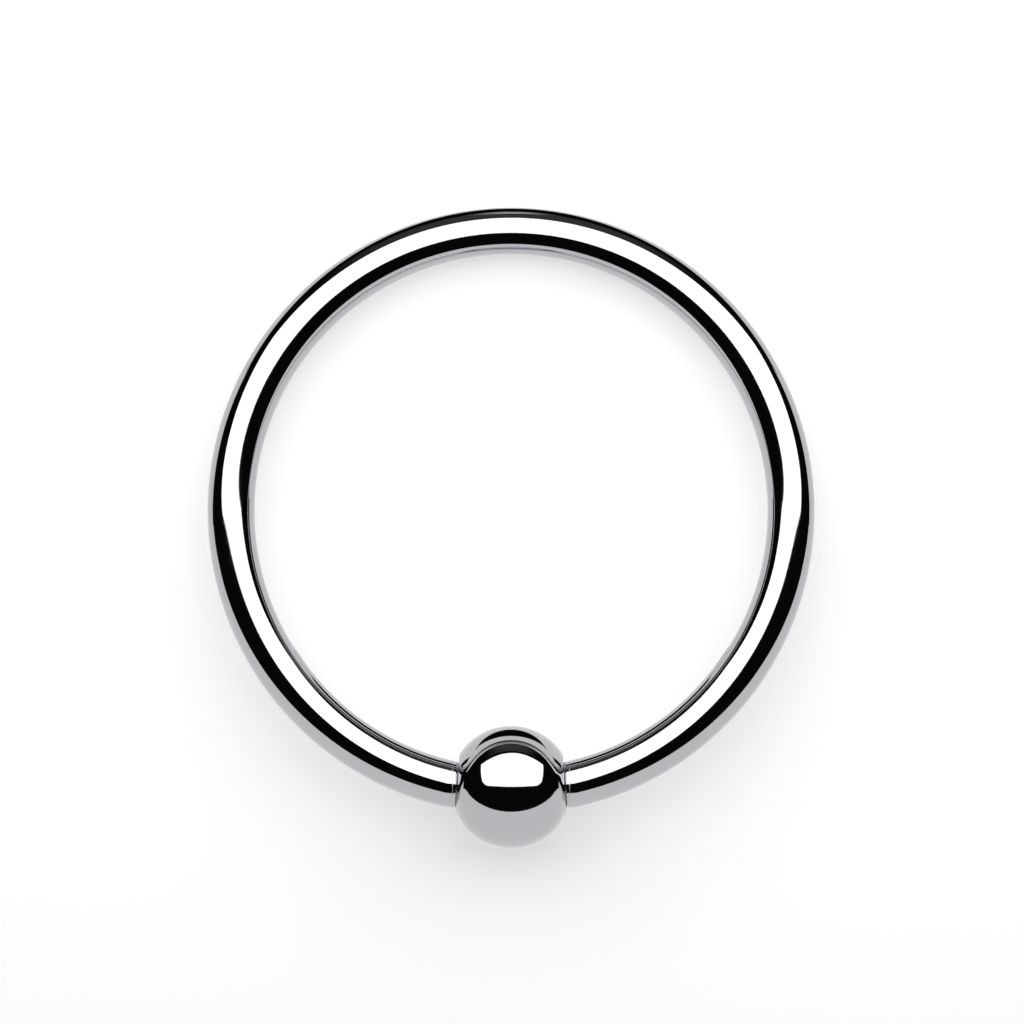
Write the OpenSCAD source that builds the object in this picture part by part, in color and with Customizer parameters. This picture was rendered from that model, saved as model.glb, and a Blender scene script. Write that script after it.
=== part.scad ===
// A fixed bead ring, lying on its side: a round wire hoop whose gap is closed by one dimpled bead.
// The bead sits for good on the hoop's right-hand end. The left-hand end only rests in its dimple.
// X runs across the gap, and -Y is the bead's side. The origin is on the surface below the middle.

/* [Hoop] */
// Diameter of the round wire
wire_d = 1.2; // [0.8:0.05:1.25]
// Width of the hole, from wire to wire
inner_d = 13; // [11.5:0.25:17.5]
// Radius of the domed wire ends
dome_r = 0.72; // [0.68:0.01:0.74]

/* [Bead] */
// Diameter of the bead
bead_d = 3.13; // [3:0.01:3.6]
// Radius of the round mouth of each dimple
mouth_r = 0.72; // [0.7:0.01:0.8]
// Radius of the ball that each dimple is a part of
dimple_r = 0.85; // [0.82:0.01:1]
// Play between a dimple's bottom and the tip of a wire end
tip_play = 0.18; // [0.18:0.01:0.3]

/* [Peg] */
// Diameter of the hidden peg on the fixed end
peg_d = 0.6; // [0.4:0.05:0.8]
// How far the peg's tip stays short of the bead's middle
peg_short = 0.1; // [0:0.05:0.4]
// Play between the peg and its bore, all round and at the tip
peg_play = 0.015; // [0.01:0.005:0.05]

/* [Smoothness] */
// Sides of each round shape
$fn = 96; // [48:12:144]

/* [Hidden] */

// Radii
wire_r = wire_d / 2;
bead_r = bead_d / 2;
ring_r = (inner_d + wire_d) / 2;

// Height of a dome over the flat end of its wire
dome_h = dome_r - sqrt(dome_r ^ 2 - wire_r ^ 2);

// Distances from the bead's middle, along X
mouth_x = sqrt(bead_r ^ 2 - mouth_r ^ 2);
dimple_x = mouth_x + sqrt(dimple_r ^ 2 - mouth_r ^ 2);
tip_x = dimple_x - dimple_r + tip_play;

// Angle from the bead's middle to each flat wire end, so that the dome's tip comes to tip_x
tip_reach = norm([ring_r, dome_h]);
end_angle = atan(dome_h / ring_r) + asin(tip_x / tip_reach);

// The wire is cut, and the peg starts, halfway between a dome ball's middle and its flat wire end
cut_x = ring_r * sin(end_angle) + (dome_r - dome_h) / 2 * cos(end_angle);

// Distance from the hoop's middle to the bead's, level with the tips of the domes
bead_reach = sqrt(tip_reach ^ 2 - tip_x ^ 2);

// Lying on its side, the ring touches the surface with the bead and with the wire across from it
rest_tilt = asin((bead_r - wire_r) / (ring_r + bead_reach));
rest_z = wire_r + ring_r * sin(rest_tilt);
rest_y = ((bead_reach - ring_r) * cos(rest_tilt) + bead_r - wire_r) / 2;

// Moves what is drawn round the hoop's middle, in the plane of the hoop, to where it rests
module at_rest() {
    translate([0, rest_y, rest_z])
        rotate([-rest_tilt, 0, 0])
            children();
}

// Ball that the dome of the right-hand wire end is a part of
module dome_ball() {
    rotate(end_angle - 90)
        translate([ring_r, dome_r - dome_h, 0])
            sphere(dome_r);
}

// What is cut from the full ring, up to the domes
module gap() {
    difference() {
        translate([0, -bead_reach, 0])
            cube([2 * cut_x, 2 * wire_d, 2 * wire_d], center = true);
        dome_ball();
        mirror([1, 0, 0])
            dome_ball();
    }
}

module wire() {
    difference() {
        rotate_extrude()
            translate([ring_r, 0])
                circle(wire_r);
        gap();
    }
}

// Moves what is drawn along Z, round the origin, to the bead's own axis
module on_bead_axis() {
    translate([0, -bead_reach, 0])
        rotate([0, 90, 0])
            children();
}

module hoop() {
    color("silver")
        at_rest() {
            wire();
            on_bead_axis()
                translate([0, 0, peg_short])
                    cylinder(d = peg_d, h = cut_x - peg_short);
        }
}

module bead() {
    color("gainsboro")
        at_rest()
            on_bead_axis()
                difference() {
                    sphere(bead_r);
                    for (side = [-1, 1])
                        translate([0, 0, side * dimple_x])
                            sphere(dimple_r);
                    translate([0, 0, peg_short - peg_play])
                        cylinder(d = peg_d + 2 * peg_play, h = dimple_x - peg_short);
                }
}

hoop();
bead();
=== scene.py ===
import math

import bpy
from mathutils import Matrix, Vector


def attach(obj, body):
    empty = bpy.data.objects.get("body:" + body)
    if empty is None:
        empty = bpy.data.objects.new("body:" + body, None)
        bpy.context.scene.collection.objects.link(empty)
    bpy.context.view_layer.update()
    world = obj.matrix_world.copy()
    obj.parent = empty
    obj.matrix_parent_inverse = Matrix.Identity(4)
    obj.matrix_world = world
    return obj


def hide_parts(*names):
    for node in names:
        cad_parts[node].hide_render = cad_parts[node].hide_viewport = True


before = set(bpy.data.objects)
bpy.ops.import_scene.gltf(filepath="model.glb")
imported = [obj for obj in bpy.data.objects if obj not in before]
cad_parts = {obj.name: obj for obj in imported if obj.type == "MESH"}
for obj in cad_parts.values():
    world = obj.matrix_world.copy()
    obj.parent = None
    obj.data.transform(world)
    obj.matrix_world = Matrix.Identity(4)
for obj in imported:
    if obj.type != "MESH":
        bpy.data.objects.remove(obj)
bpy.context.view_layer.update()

MM = 0.001

# Driving sizes of the ring, in metres
WIRE_R = 0.6 * MM
RING_R = 7.1 * MM           # from the middle of the hoop to the middle of its wire
BEAD_R = 1.565 * MM
PEG_R = 0.3 * MM
PEG_SHORT = 0.1 * MM        # from the bead's middle to the peg's tip
PEG_PLAY = 0.015 * MM
PEG_BEVEL = 0.03 * MM

# Domes and dimples of the CAD part, which set how far the wire ends are from the bead's middle
DOME_R = 0.72 * MM          # ball that each dome is a part of
MOUTH_R = 0.72 * MM         # mouth of each dimple
DIMPLE_R = 0.85 * MM        # ball that each dimple is a part of
TIP_PLAY = 0.18 * MM        # from a dimple's bottom to the tip of the dome

# The same wire ends and dimples with their edges polished off, as they are built here
END_LEAD = 0.126 * MM       # how far before the flat wire end the wire starts to taper
TAPER_R = 1.1 * MM          # radius of this taper
TAPER_TURN = math.radians(16)
END_ROUND = 0.35 * MM       # tighter rounding that follows it
TIP_BALL_R = 1.0 * MM       # flatter ball that ends the wire
SOCKET_X = 1.588 * MM       # middle of the dimple's ball, along the bead's axis
SOCKET_R = 0.70 * MM
SHOULDER_X = 0.835 * MM     # centre of the soft shoulder round each dimple, along the bead's axis
SHOULDER_AWAY = 0.62 * MM   # and away from this axis
SHOULDER_R = 0.525 * MM
RIM_ROUND = 0.025 * MM      # rounding from the shoulder into the dimple
RIM_LEAN = 0.1              # slope of the rims, which lean with the wire
LEAN_R = 0.58 * MM          # where they lean most, away from the bead's axis
LEAN_REACH = 0.25 * MM      # from there to where the lean ends

# Places that follow, as in the CAD part
DOME_BACK = math.sqrt(DOME_R ** 2 - WIRE_R ** 2)    # from a flat wire end back to its dome's middle
DOME_H = DOME_R - DOME_BACK
MOUTH_X = math.sqrt(BEAD_R ** 2 - MOUTH_R ** 2)
DIMPLE_X = MOUTH_X + math.sqrt(DIMPLE_R ** 2 - MOUTH_R ** 2)
TIP_X = DIMPLE_X - DIMPLE_R + TIP_PLAY
TIP_REACH = math.hypot(RING_R, DOME_H)
END_ANGLE = math.atan(DOME_H / RING_R) + math.asin(TIP_X / TIP_REACH)
BEAD_REACH = math.sqrt(TIP_REACH ** 2 - TIP_X ** 2)
BEAD_MIDDLE = Vector((0, -BEAD_REACH, 0))           # in the plane of the hoop; the bead's axis runs along X
REST_TILT = math.asin((BEAD_R - WIRE_R) / (RING_R + BEAD_REACH))
REST_Y = ((BEAD_REACH - RING_R) * math.cos(REST_TILT) + BEAD_R - WIRE_R) / 2
REST_Z = WIRE_R + RING_R * math.sin(REST_TILT)

# Carries what is drawn in the plane of the hoop, round its middle, to where the ring rests
AT_REST = Matrix.Translation((0, REST_Y, REST_Z)) @ Matrix.Rotation(-REST_TILT, 4, "X")


# Camera

FRAME_WIDTH = 25.97 * MM            # what the picture's width spans in the plane of the hoop
PICTURE = 1024                      # the picture's width in pixels
HOOP_MIDDLE_PX = (511.1, 511.0)     # where the middle of the hoop shows, from the top left corner
LENS_MM = 400
SENSOR_MM = 36
CLIP_START = 1 * MM                 # what is nearer than this, or farther than the next, isn't seen
CLIP_END = 2


def make_camera():
    """Looks straight down on the plane of the hoop, with the bead at the bottom of the picture."""
    data = bpy.data.cameras.new("camera")
    data.lens = LENS_MM
    data.sensor_width = SENSOR_MM
    data.clip_start = CLIP_START
    data.clip_end = CLIP_END
    camera = bpy.data.objects.new("camera", data)
    bpy.context.scene.collection.objects.link(camera)
    px = FRAME_WIDTH / PICTURE
    aside = (PICTURE / 2 - HOOP_MIDDLE_PX[0]) * px
    above = (HOOP_MIDDLE_PX[1] - PICTURE / 2) * px
    away = FRAME_WIDTH * LENS_MM / SENSOR_MM
    camera.matrix_world = AT_REST @ Matrix.Translation((aside, above, away))
    bpy.context.scene.camera = camera


# Meshes

AROUND = 96              # points round the wire
ALONG = 600              # rings along the wire
TAPER_STEPS = 14         # these three are steps along the parts of a wire end
ROUND_STEPS = 16
TIP_STEPS = 5
BEAD_AROUND = 144        # points round the bead
BEAD_ALONG = 110         # steps over the bead's outside
SHOULDER_STEPS = 16      # these three are steps along the parts of a dimple
RIM_STEPS = 10
SOCKET_STEPS = 24
SUPPORT = 0.006 * MM     # from a rounding to the ring that keeps the shading next to it true
STRAIGHT = 0.05 * MM     # from a taper's start to the first of the even rings along the wire
PEG_FOOT = 0.05 * MM     # how far outside the peg the last ring of the wire end beneath it stays
SHARP_ANGLE = math.radians(50)   # edges that turn by more are shaded sharp


def arc(centre, radius, start, end, steps):
    """Points on a flat arc, both ends included."""
    turn = (end - start) / steps
    return [
        (centre[0] + radius * math.cos(start + i * turn), centre[1] + radius * math.sin(start + i * turn))
        for i in range(steps + 1)
    ]


def mesh_of_rings(name, rings, first, last):
    """One closed skin over rings of points. first and last are single points that close its two ends.
    Its UV map runs along the rings in U and round them in V."""
    count = len(rings[0])
    points = [p for ring in rings for p in ring] + [first, last]
    first_at, last_at = len(points) - 2, len(points) - 1
    faces, uvs = [], []

    def uv(i, j):
        return ((i + 1) / (len(rings) + 1), j / count)

    for j in range(count):
        k = (j + 1) % count
        faces.append((first_at, k, j))
        uvs += [uv(-1, j + 0.5), uv(0, j + 1), uv(0, j)]
        for i in range(len(rings) - 1):
            a, b = i * count, (i + 1) * count
            faces.append((a + j, a + k, b + k, b + j))
            uvs += [uv(i, j), uv(i, j + 1), uv(i + 1, j + 1), uv(i + 1, j)]
        a = (len(rings) - 1) * count
        faces.append((a + j, a + k, last_at))
        uvs += [uv(len(rings) - 1, j), uv(len(rings) - 1, j + 1), uv(len(rings), j + 0.5)]
    mesh = bpy.data.meshes.new(name)
    mesh.from_pydata([AT_REST @ p for p in points], [], faces)
    layer = mesh.uv_layers.new(name="along_and_round")
    for loop, at in zip(layer.data, uvs):
        loop.uv = at
    mesh.validate()
    mesh.polygons.foreach_set("use_smooth", [True] * len(mesh.polygons))
    mesh.set_sharp_from_angle(angle=SHARP_ANGLE)
    piece = bpy.data.objects.new(name, mesh)
    bpy.context.scene.collection.objects.link(piece)
    return piece


def end_profile():
    """Outline of a wire end, from its last straight ring to its tip. Each point is how far past the flat wire
    end it is, and how far from the wire's axis."""
    taper_middle = (-END_LEAD, WIRE_R - TAPER_R)
    taper = arc(taper_middle, TAPER_R, math.pi / 2, math.pi / 2 - TAPER_TURN, TAPER_STEPS)
    inward = TAPER_R - END_ROUND
    middle = (
        taper_middle[0] + inward * math.sin(TAPER_TURN),
        taper_middle[1] + inward * math.cos(TAPER_TURN),
    )
    tip_turn = math.asin(middle[1] / (TIP_BALL_R - END_ROUND))
    rounding = arc(middle, END_ROUND, math.pi / 2 - TAPER_TURN, tip_turn, ROUND_STEPS)
    ball_middle = middle[0] - (TIP_BALL_R - END_ROUND) * math.cos(tip_turn)
    ball = arc((ball_middle, 0), TIP_BALL_R, tip_turn, 0, TIP_STEPS)
    return [(-END_LEAD - SUPPORT, WIRE_R)] + taper + rounding[1:] + ball[1:]


def outward_at(angle):
    """Way out from the middle of the hoop. The angle starts at the bead's side."""
    return Vector((math.sin(angle), -math.cos(angle), 0))


def circle(middle, outward, radius):
    """Ring of points in the plane of outward and the hoop's normal."""
    turns = [2 * math.pi * j / AROUND for j in range(AROUND)]
    return [middle + outward * radius * math.cos(t) + Vector((0, 0, radius * math.sin(t))) for t in turns]


class WireEnd:
    """One end of the wire: where it is, and which way it points."""

    def __init__(self, angle, onward):
        """onward is 1 where the angle grows towards the tip, else -1."""
        self.angle = angle
        self.tangent = Vector((math.cos(angle), math.sin(angle), 0)) * onward
        self.outward = outward_at(angle)
        self.middle = self.outward * RING_R

    def point(self, past):
        """Point on the wire's axis, this far past the flat end."""
        return self.middle + self.tangent * past

    def ring(self, past, radius):
        return circle(self.point(past), self.outward, radius)


def peg():
    """Rings along the peg, and the middle of its tip. It lies on the bead's axis, from inside the wire."""
    outline = ((TIP_X, PEG_R), (PEG_SHORT + PEG_BEVEL, PEG_R), (PEG_SHORT, PEG_R - PEG_BEVEL))
    rings = [circle(BEAD_MIDDLE + Vector((x, 0, 0)), Vector((0, -1, 0)), radius) for x, radius in outline]
    return rings, BEAD_MIDDLE + Vector((PEG_SHORT, 0, 0))


def make_hoop():
    """The wire from the peg on its right-hand end, all the way round, to its rounded left-hand end."""
    right = WireEnd(END_ANGLE, -1)
    left = WireEnd(2 * math.pi - END_ANGLE, 1)
    profile = end_profile()
    peg_rings, peg_tip = peg()
    rings = [right.ring(past, radius) for past, radius in profile if radius > PEG_R + PEG_FOOT]
    rings = (rings + peg_rings)[::-1]
    margin = (END_LEAD + STRAIGHT) / RING_R
    span = left.angle - right.angle - 2 * margin
    for i in range(ALONG + 1):
        outward = outward_at(right.angle + margin + span * i / ALONG)
        rings.append(circle(outward * RING_R, outward, WIRE_R))
    rings += [left.ring(past, radius) for past, radius in profile[:-1]]
    return mesh_of_rings("hoop_polished", rings, peg_tip, left.point(profile[-1][0]))


def crossing(centre, radius, other_x, other_r):
    """Point away from the axis that two circles share. The second one's centre is on the axis, at other_x."""
    dx, dr = other_x - centre[0], -centre[1]
    gap = math.hypot(dx, dr)
    along = (radius ** 2 - other_r ** 2 + gap ** 2) / (2 * gap)
    aside = math.sqrt(radius ** 2 - along ** 2)
    return (centre[0] + (along * dx - aside * dr) / gap, centre[1] + (along * dr + aside * dx) / gap)


def side_profile():
    """One side of the bead: soft shoulder, rim and dimple, as X and distance from the bead's axis. Its second
    result is the angle where the shoulder starts, seen from the bead's middle."""
    shoulder = (SHOULDER_X, SHOULDER_AWAY)
    start = math.atan2(SHOULDER_AWAY, SHOULDER_X)
    rim = crossing(shoulder, SHOULDER_R - RIM_ROUND, SOCKET_X, SOCKET_R + RIM_ROUND)
    outside = math.atan2(rim[1] - shoulder[1], rim[0] - shoulder[0])
    inside = math.atan2(-rim[1], SOCKET_X - rim[0])
    profile = arc(shoulder, SHOULDER_R, start, outside, SHOULDER_STEPS)
    profile += arc(rim, RIM_ROUND, outside, inside, RIM_STEPS)[1:]
    profile += arc((SOCKET_X, 0), SOCKET_R, math.pi + inside, math.pi, SOCKET_STEPS)[1:]
    return profile, start


def bead_ring(x, r):
    """Ring of points round the bead's axis. It leans where it is near a rim."""
    lean = math.copysign(RIM_LEAN, x) * max(0, 1 - ((r - LEAN_R) / LEAN_REACH) ** 2) ** 2
    turns = [2 * math.pi * j / BEAD_AROUND for j in range(BEAD_AROUND)]
    return [
        BEAD_MIDDLE + Vector((x - lean * r * math.cos(t), r * math.cos(t), r * math.sin(t)))
        for t in turns
    ]


def make_bead():
    """The bead, turned about its own axis: free dimple, outside, fixed dimple and the peg's bore."""
    side, start = side_profile()
    left_side = [(-x, r) for x, r in side[:-1]][::-1]
    shell = arc((0, 0), BEAD_R, math.pi - start, start, BEAD_ALONG)[1:-1]
    bore_r = PEG_R + PEG_PLAY
    bore_floor = PEG_SHORT - PEG_PLAY
    bore_mouth = SOCKET_X - math.sqrt(SOCKET_R ** 2 - bore_r ** 2)
    right_side = [(x, r) for x, r in side if r > bore_r + SUPPORT]
    bore = [(bore_mouth, bore_r), (bore_floor, bore_r)]
    rings = [bead_ring(x, r) for x, r in left_side + shell + right_side + bore]
    first = BEAD_MIDDLE + Vector((SOCKET_R - SOCKET_X, 0, 0))
    last = BEAD_MIDDLE + Vector((bore_floor, 0, 0))
    return mesh_of_rings("bead_polished", rings, first, last)


# Materials

STEEL = (0.470, 0.465, 0.485)
TINT_SPREAD = 0.03              # share by which the hazy patches are darker or lighter
HAZE_SIZE = 1.2 * MM
HAZE_DETAIL = 4
HAZE_ROUGHNESS = (0.02, 0.05)
BUFFING_SIZE = 0.03 * MM        # across the buffing lines
BUFFING_DETAIL = 3
BUFFING_ROUGHNESS = 0.02        # what they add at most
BUFFING_DEPTH = 0.00004 * MM
WIRE_STRETCH = 40               # how many times longer than wide they are on the wire
BEAD_STRETCH = 1
SWELL_SIZE = 0.9 * MM           # slight unevenness
SWELL_DETAIL = 1
SWELL_DEPTH = 0.0004 * MM
SEAM_X = 1.48 * MM              # fine line round the wire on each side of the bead
SEAM_WIDTH = 0.016 * MM
SEAM_ROUGHNESS = 0.35


def link(tree, value, socket):
    """Feeds a socket from another one, or sets it to a number."""
    if isinstance(value, bpy.types.NodeSocket):
        tree.links.new(value, socket)
    else:
        socket.default_value = value


def math_node(tree, operation, *values):
    node = tree.nodes.new("ShaderNodeMath")
    node.operation = operation
    for value, socket in zip(values, node.inputs):
        link(tree, value, socket)
    return node.outputs[0]


def ramp_node(tree, value, low, high, at_low, at_high):
    """at_low where value is under low, at_high over high, and smooth between."""
    node = tree.nodes.new("ShaderNodeMapRange")
    node.interpolation_type = "SMOOTHSTEP"
    link(tree, value, node.inputs["Value"])
    for name, number in zip(("From Min", "From Max", "To Min", "To Max"), (low, high, at_low, at_high)):
        node.inputs[name].default_value = number
    return node.outputs["Result"]


def noise_node(tree, vector, size, detail):
    node = tree.nodes.new("ShaderNodeTexNoise")
    link(tree, vector, node.inputs["Vector"])
    node.inputs["Scale"].default_value = 1 / size
    node.inputs["Detail"].default_value = detail
    return node.outputs["Fac"]


def between(tree, value, low, high):
    """Spreads a value from 0 to 1 evenly over low to high."""
    node = tree.nodes.new("ShaderNodeMapRange")
    link(tree, value, node.inputs["Value"])
    node.inputs["To Min"].default_value = low
    node.inputs["To Max"].default_value = high
    return node.outputs["Result"]


def polish_vector(tree, length, girth, stretch):
    """Place on the skin, in metres and with no seam. X is how far along it, divided by stretch, and Y and Z
    are where it is on a circle of this girth."""
    uv = tree.nodes.new("ShaderNodeUVMap")
    uv.uv_map = "along_and_round"
    split = tree.nodes.new("ShaderNodeSeparateXYZ")
    tree.links.new(uv.outputs["UV"], split.inputs[0])
    turn = math_node(tree, "MULTIPLY", split.outputs["Y"], 2 * math.pi)
    radius = girth / (2 * math.pi)
    place = tree.nodes.new("ShaderNodeCombineXYZ")
    link(tree, math_node(tree, "MULTIPLY", split.outputs["X"], length / stretch), place.inputs["X"])
    link(tree, math_node(tree, "MULTIPLY", math_node(tree, "COSINE", turn), radius), place.inputs["Y"])
    link(tree, math_node(tree, "MULTIPLY", math_node(tree, "SINE", turn), radius), place.inputs["Z"])
    return place.outputs[0]


def seam_line(tree, where):
    """1 on a fine line round the wire on each side of the bead, and 0 elsewhere."""
    split = tree.nodes.new("ShaderNodeSeparateXYZ")
    tree.links.new(where, split.inputs[0])
    off = math_node(tree, "SUBTRACT", math_node(tree, "ABSOLUTE", split.outputs["X"]), SEAM_X)
    far = math_node(tree, "DIVIDE", off, SEAM_WIDTH)
    bell = math_node(tree, "EXPONENT", math_node(tree, "MULTIPLY", math_node(tree, "MULTIPLY", far, far), -1))
    on_bead_side = math_node(tree, "LESS_THAN", split.outputs["Y"], 0)
    return math_node(tree, "MULTIPLY", bell, on_bead_side)


def polished_steel(name, length, girth, stretch, seam=False):
    """Mirror-polished steel: buffing lines too fine to see one by one, slight haze and slight unevenness."""
    material = bpy.data.materials.new(name)
    material.use_nodes = True
    tree = material.node_tree
    shader = tree.nodes["Principled BSDF"]
    shader.inputs["Metallic"].default_value = 1

    lines = noise_node(tree, polish_vector(tree, length, girth, stretch), BUFFING_SIZE, BUFFING_DETAIL)
    where = tree.nodes.new("ShaderNodeTexCoord").outputs["Object"]
    haze = noise_node(tree, where, HAZE_SIZE, HAZE_DETAIL)
    swell = noise_node(tree, where, SWELL_SIZE, SWELL_DETAIL)

    tint = tree.nodes.new("ShaderNodeMix")
    tint.data_type = "RGBA"
    link(tree, haze, tint.inputs["Factor"])
    tint.inputs["A"].default_value = [c * (1 - TINT_SPREAD) for c in STEEL] + [1]
    tint.inputs["B"].default_value = [c * (1 + TINT_SPREAD) for c in STEEL] + [1]
    tree.links.new(tint.outputs["Result"], shader.inputs["Base Color"])

    hazy = between(tree, haze, *HAZE_ROUGHNESS)
    rough = math_node(tree, "ADD", hazy, between(tree, lines, 0, BUFFING_ROUGHNESS))
    if seam:
        rough = math_node(tree, "MULTIPLY_ADD", seam_line(tree, where), SEAM_ROUGHNESS, rough)
    tree.links.new(rough, shader.inputs["Roughness"])

    normal = None
    for height, depth in ((swell, SWELL_DEPTH), (lines, BUFFING_DEPTH)):
        bump = tree.nodes.new("ShaderNodeBump")
        bump.inputs["Strength"].default_value = 1
        bump.inputs["Distance"].default_value = depth
        link(tree, height, bump.inputs["Height"])
        if normal is not None:
            tree.links.new(normal, bump.inputs["Normal"])
        normal = bump.outputs["Normal"]
    tree.links.new(normal, shader.inputs["Normal"])
    return material


def stage_material(name, albedo, glow):
    """Matt material of the stage. It reflects the share albedo of the light, and glows by itself."""
    material = bpy.data.materials.new(name)
    material.use_nodes = True
    shader = material.node_tree.nodes["Principled BSDF"]
    shader.inputs["Roughness"].default_value = 1
    shader.inputs["Specular IOR Level"].default_value = 0
    shader.inputs["Base Color"].default_value = (albedo, albedo, albedo, 1)
    shader.inputs["Emission Color"].default_value = (1, 1, 1, 1)
    shader.inputs["Emission Strength"].default_value = glow
    return material


# Stage and light

# A white table in a dark studio, an arched window overhead, a grey wall on the bead's side, and black, dim and
# light cards on the table. The wall and the cards show in reflections alone.

DARK_GLOW = 0.004
DIM_GLOW = 0.06
GLINT_GLOW = 0.55
WALL_GLOW = 1.0          # also the table's, as it shows in reflections
WINDOW_GLOW = 2.4

FLOOR_R = 1.5
FLOOR_STEPS = 96
FLOOR_ALBEDO = 0.52
FLOOR_GLOW = 0.56

# Window: where it shows on a mirror ball, as seen_at takes it
WINDOW_STEPS = 40
LOW_EDGE_Z = 65 * MM     # height of its lower edge over the plane of the hoop
HIGH_EDGE_Z = 50 * MM
WINDOW_ASIDE = 0.015     # how far its middle is to the right
LOW_EDGE_HALF = 0.48     # half the width of its lower edge
LOW_EDGE_UP = -0.03      # how high the middle of this edge is
LOW_EDGE_BEND = 0.17     # how it bends up to both sides
CORNER_RISE = 0.06       # how much its ends turn up besides
CORNER_SPAN = 0.2        # share of each half over which they do
HIGH_EDGE_HALF = 0.508   # the same for its upper edge
HIGH_EDGE_UP = 0.555
HIGH_EDGE_BEND = 0.76    # how it bends down to both sides

# Wall: its heights are from the plane of the hoop
WALL_STEPS = 40          # to each side
WALL_REACH = 320 * MM    # to each side
WALL_Y = -16 * MM        # from the middle of the hoop
WALL_TOP = -3 * MM       # height of its top, beside the rise in the middle
WALL_RISE = 12.8 * MM
RISE_HALF = 60 * MM      # from the middle to where half of the rise is left
TOP_SLOPE = 0.17         # how its top falls far out
TOP_SLOPE_FROM = 90 * MM
WALL_FOOT = -4 * MM      # height of its foot in the middle, which goes down past the table to both sides
FOOT_SLOPE = 0.22

# Cards on the table. Their outlines are in millimetres from the origin, and so is how high they lie.
ACROSS = [i / 20 for i in range(-20, 21)]   # from the left end of a bent card to the right
CARDS_END = 60           # far edge of the cards behind the hoop, and half its width
BLACK_LIFT = 0.02
FAR_CARD_HALF = 10       # half the width of the far card's near edge
FAR_CARD_Y = 8.6         # middle of this edge
FAR_CARD_BEND = 3.2      # how much nearer the ends of this edge are
INNER_CARD_HALF = 3.75
INNER_CARD_Y = -2.24
INNER_CARD_BEND = 0.42
INNER_CARD_DEPTH = 1.4   # half its depth in the middle
INNER_CARD_POINT = 1.35  # how pointed its ends are
# Near and far edges of the small cards to the right, inside the hoop and under it. The left has the same.
TIP_CARD_NEAR = ((3.3, -2.74), (3.65, -2.58), (4.0, -2.38), (4.3, -2.41))
TIP_CARD_FAR = ((3.3, -2.48), (3.65, -2.44), (4.0, -2.29), (4.3, -2.37))
# The wing cards under the wire are painted shadow: in reflections they stand in for the shaded floor under the
# wire by the bead.
SHADOW_WING_NEAR = ((4.88, -2.95), (4.85, -3.3), (3.75, -5.2))
SHADOW_WING_FAR = ((5.0, -2.92), (6.2, -3.1), (4.3, -5.6))
# Dim card behind the hoop, and the glint card on it
DIM_LIFT = 0.04
DIM_CARD_HALF = 9
DIM_CARD_Y = 10.7
DIM_CARD_TOP = 17        # height of the part that stands up at its far edge
DIM_TO_DARK = (0.25, 0.9)    # where it turns darker, as sideways distance over distance behind the origin
GLINT_LIFT = 0.06
GLINT_HALF = 1.7
GLINT_Y = (10.3, 15)     # near and far edge
GLINT_FULL = 0.2         # half the width of the part that has all its light

# World
TABLE_EDGE = -0.2        # how far below level the table ends, as a sine
EDGE_SOFT = 0.01


def stage_mesh(name, points, faces, material):
    mesh = bpy.data.meshes.new(name)
    mesh.from_pydata(points, [], faces)
    mesh.materials.append(material)
    thing = bpy.data.objects.new(name, mesh)
    bpy.context.scene.collection.objects.link(thing)
    return thing


def only_reflected(thing):
    """Shows a studio card in reflections alone."""
    thing.visible_camera = False
    thing.visible_diffuse = False
    thing.visible_shadow = False
    thing.visible_transmission = False


def strip(low, high):
    """Points and faces of a strip between two rows of points."""
    count = len(low)
    return list(low) + list(high), [(i, i + 1, count + i + 1, count + i) for i in range(count - 1)]


def make_floor():
    """White table, as the camera sees it. In reflections the world takes its place."""
    turns = [2 * math.pi * i / FLOOR_STEPS for i in range(FLOOR_STEPS)]
    rim = [(FLOOR_R * math.cos(t), FLOOR_R * math.sin(t), 0) for t in turns]
    material = stage_material("floor_white", FLOOR_ALBEDO, FLOOR_GLOW)
    floor = stage_mesh("floor", rim, [tuple(range(FLOOR_STEPS))], material)
    floor.visible_glossy = False


def seen_at(across, up, z):
    """Point at z over the plane of the hoop that shows at this place on a mirror ball. The ball is seen from
    straight above the hoop, and the place is in ball radii from its middle."""
    m = math.hypot(across, up)
    reach = z * math.tan(2 * math.asin(m)) / m
    return AT_REST @ Vector((across * reach, up * reach, z))


def make_window():
    low, high = [], []
    for i in range(WINDOW_STEPS + 1):
        u = 2 * i / WINDOW_STEPS - 1
        side = LOW_EDGE_HALF * u
        corner = CORNER_RISE * (max(0, abs(u) - (1 - CORNER_SPAN)) / CORNER_SPAN) ** 2
        up = LOW_EDGE_UP + LOW_EDGE_BEND * side ** 2 + corner
        low.append(seen_at(side + WINDOW_ASIDE, up, LOW_EDGE_Z))
        side = HIGH_EDGE_HALF * u
        up = HIGH_EDGE_UP - HIGH_EDGE_BEND * side ** 2
        high.append(seen_at(side + WINDOW_ASIDE, up, HIGH_EDGE_Z))
    points, faces = strip(low, high)
    window = stage_mesh("window", points, faces, stage_material("window_light", 0, WINDOW_GLOW))
    window.visible_camera = False
    window.visible_shadow = False


def make_wall():
    """Grey wall on the bead's side. Its steps get longer to both sides."""
    low, high = [], []
    for i in range(-WALL_STEPS, WALL_STEPS + 1):
        x = WALL_REACH * math.copysign((i / WALL_STEPS) ** 2, i)
        rise = WALL_RISE / (1 + (x / RISE_HALF) ** 2)
        fall = TOP_SLOPE * max(0, abs(x) - TOP_SLOPE_FROM)
        low.append(AT_REST @ Vector((x, WALL_Y, WALL_FOOT - FOOT_SLOPE * abs(x))))
        high.append(AT_REST @ Vector((x, WALL_Y, WALL_TOP + rise - fall)))
    points, faces = strip(low, high)
    only_reflected(stage_mesh("grey_wall", points, faces, stage_material("grey_card", 0, WALL_GLOW)))


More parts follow.
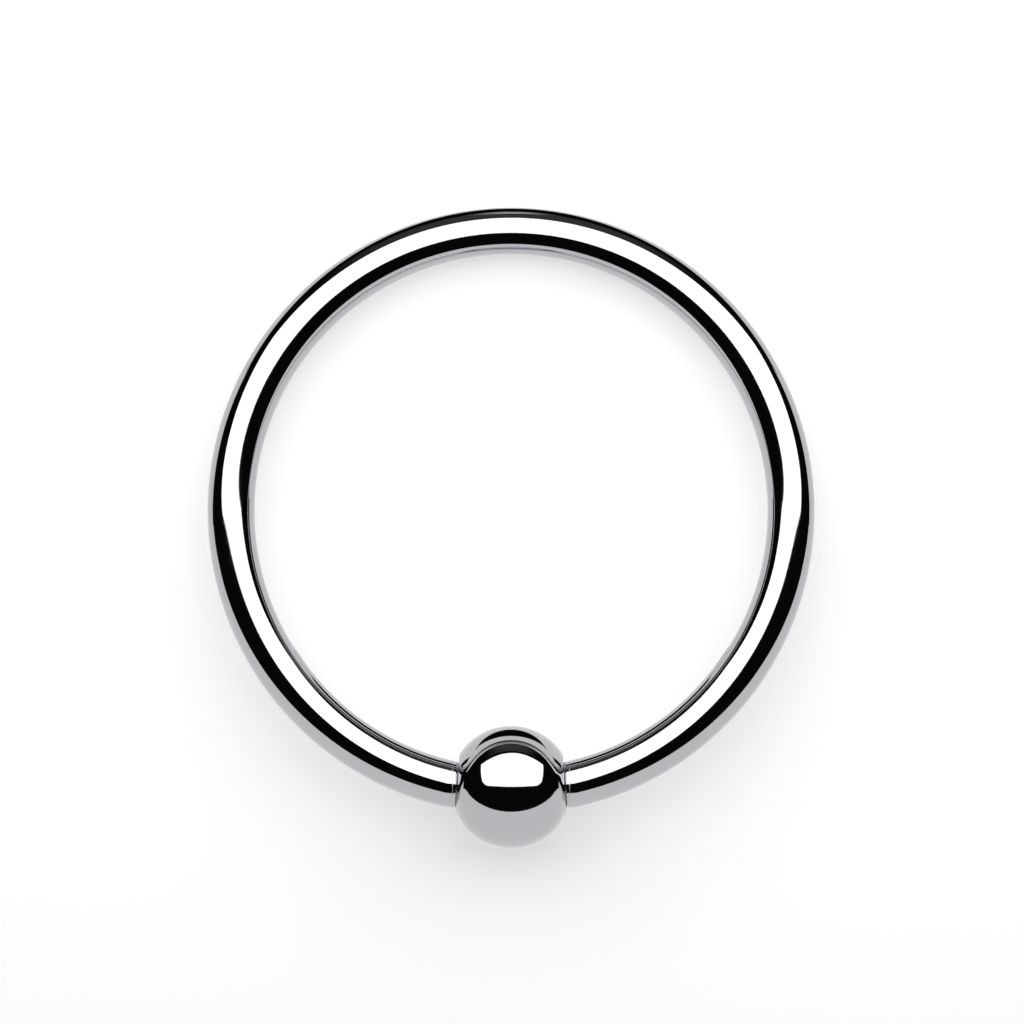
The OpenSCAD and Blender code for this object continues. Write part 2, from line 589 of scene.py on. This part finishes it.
def table_card(name, near, far, material):
    """Flat card just over the table, between its near edge and its far edge."""
    rows = [[Vector((x * MM, y * MM, BLACK_LIFT * MM)) for x, y in row] for row in (near, far)]
    points, faces = strip(*rows)
    only_reflected(stage_mesh(name, points, faces, material))


def side_cards(name, near, far, material):
    """The same card to the right and to the left."""
    for side, word in ((1, "right"), (-1, "left")):
        rows = [[(side * x, y) for x, y in row] for row in (near, far)]
        table_card(f"{name}_{word}", *rows, material)


def make_far_card(black):
    """Black card behind the hoop. Its near edge bends round the hoop."""
    near = [(FAR_CARD_HALF * u, FAR_CARD_Y - FAR_CARD_BEND * u ** 2) for u in ACROSS]
    far = [(CARDS_END * u, CARDS_END) for u in ACROSS]
    table_card("black_far_card", near, far, black)


def make_inner_card(black):
    """Bent black card inside the hoop, with two pointed ends."""
    near, far = [], []
    for u in ACROSS:
        middle = INNER_CARD_Y - INNER_CARD_BEND * u ** 2
        half = INNER_CARD_DEPTH * (1 - u ** 2) ** INNER_CARD_POINT
        near.append((INNER_CARD_HALF * u, middle - half))
        far.append((INNER_CARD_HALF * u, middle + half))
    table_card("black_inner_card", near, far, black)


def make_black_cards():
    """Black cards on the table, which give the steel its dark lines. The wing cards among them are painted
    shadow.
    """
    black = stage_material("black_card", 0, DARK_GLOW)
    make_far_card(black)
    make_inner_card(black)
    side_cards("black_tip", TIP_CARD_NEAR, TIP_CARD_FAR, black)
    # painted shadow of the floor under the wire by the bead, seen in reflections
    side_cards("painted_shadow_wing", SHADOW_WING_NEAR, SHADOW_WING_FAR, black)


def place_nodes(tree):
    """Place in the world, as X, Y and Z."""
    place = tree.nodes.new("ShaderNodeSeparateXYZ")
    tree.links.new(tree.nodes.new("ShaderNodeTexCoord").outputs["Object"], place.inputs[0])
    return place.outputs


def make_dim_card():
    """Dim card that lies on the far black one and then stands up. It is darker to both sides."""
    rows = (
        (DIM_CARD_HALF, DIM_CARD_Y, DIM_LIFT),
        (CARDS_END, CARDS_END, DIM_LIFT),
        (CARDS_END, CARDS_END, DIM_CARD_TOP),
    )
    points = [Vector((side * x * MM, y * MM, z * MM)) for x, y, z in rows for side in (-1, 1)]
    material = stage_material("dim_card", 0, DIM_GLOW)
    tree = material.node_tree
    place = place_nodes(tree)
    aside = math_node(tree, "DIVIDE", math_node(tree, "ABSOLUTE", place["X"]), place["Y"])
    glow = ramp_node(tree, aside, *DIM_TO_DARK, DIM_GLOW, DARK_GLOW)
    tree.links.new(glow, tree.nodes["Principled BSDF"].inputs["Emission Strength"])
    only_reflected(stage_mesh("dim_far_card", points, [(0, 1, 3, 2), (2, 3, 5, 4)], material))


def make_glint_card():
    """Small light card on the dim one. It gives the soft glint in the dark line across from the bead."""
    corners = [(side * GLINT_HALF, y) for y in GLINT_Y for side in (-1, 1)]
    points = [Vector((x * MM, y * MM, GLINT_LIFT * MM)) for x, y in corners]
    material = stage_material("glint_card", 0, GLINT_GLOW)
    tree = material.node_tree
    aside = math_node(tree, "ABSOLUTE", place_nodes(tree)["X"])
    glow = ramp_node(tree, aside, GLINT_FULL * MM, GLINT_HALF * MM, GLINT_GLOW, DIM_GLOW)
    tree.links.new(glow, tree.nodes["Principled BSDF"].inputs["Emission Strength"])
    only_reflected(stage_mesh("glint_card", points, [(0, 1, 3, 2)], material))


def make_world():
    """A dark studio over a light table, which turns dark far off as well. It shows in reflections, where it
    takes the place of the floor. The camera sees it white, like the floor."""
    world = bpy.data.worlds.new("studio")
    bpy.context.scene.world = world
    world.use_nodes = True
    tree = world.node_tree
    tree.nodes.clear()
    way = tree.nodes.new("ShaderNodeTexCoord").outputs["Generated"]
    up = tree.nodes.new("ShaderNodeVectorMath")
    up.operation = "DOT_PRODUCT"
    tree.links.new(way, up.inputs[0])
    up.inputs[1].default_value = AT_REST.to_3x3() @ Vector((0, 0, 1))
    low, high = TABLE_EDGE - EDGE_SOFT, TABLE_EDGE + EDGE_SOFT
    table = ramp_node(tree, up.outputs["Value"], low, high, WALL_GLOW, DARK_GLOW)
    seen = tree.nodes.new("ShaderNodeLightPath").outputs["Is Camera Ray"]
    background = tree.nodes.new("ShaderNodeBackground")
    background.inputs["Color"].default_value = (1, 1, 1, 1)
    link(tree, math_node(tree, "MAXIMUM", table, seen), background.inputs["Strength"])
    output = tree.nodes.new("ShaderNodeOutputWorld")
    tree.links.new(background.outputs[0], output.inputs["Surface"])


# Build

make_camera()
bpy.context.scene.view_settings.view_transform = "Standard"

hoop = make_hoop()
hoop_length = 2 * (math.pi - END_ANGLE) * RING_R
wire_steel = polished_steel("wire_steel", hoop_length, 2 * math.pi * WIRE_R, WIRE_STRETCH, seam=True)
hoop.data.materials.append(wire_steel)
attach(hoop, "root")
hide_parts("hoop")

bead = make_bead()
bead_steel = polished_steel("bead_steel", math.pi * BEAD_R, 2 * math.pi * BEAD_R, BEAD_STRETCH)
bead.data.materials.append(bead_steel)
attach(bead, "root")
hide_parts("bead")

make_floor()
make_window()
make_wall()
make_black_cards()
make_dim_card()
make_glint_card()
make_world()
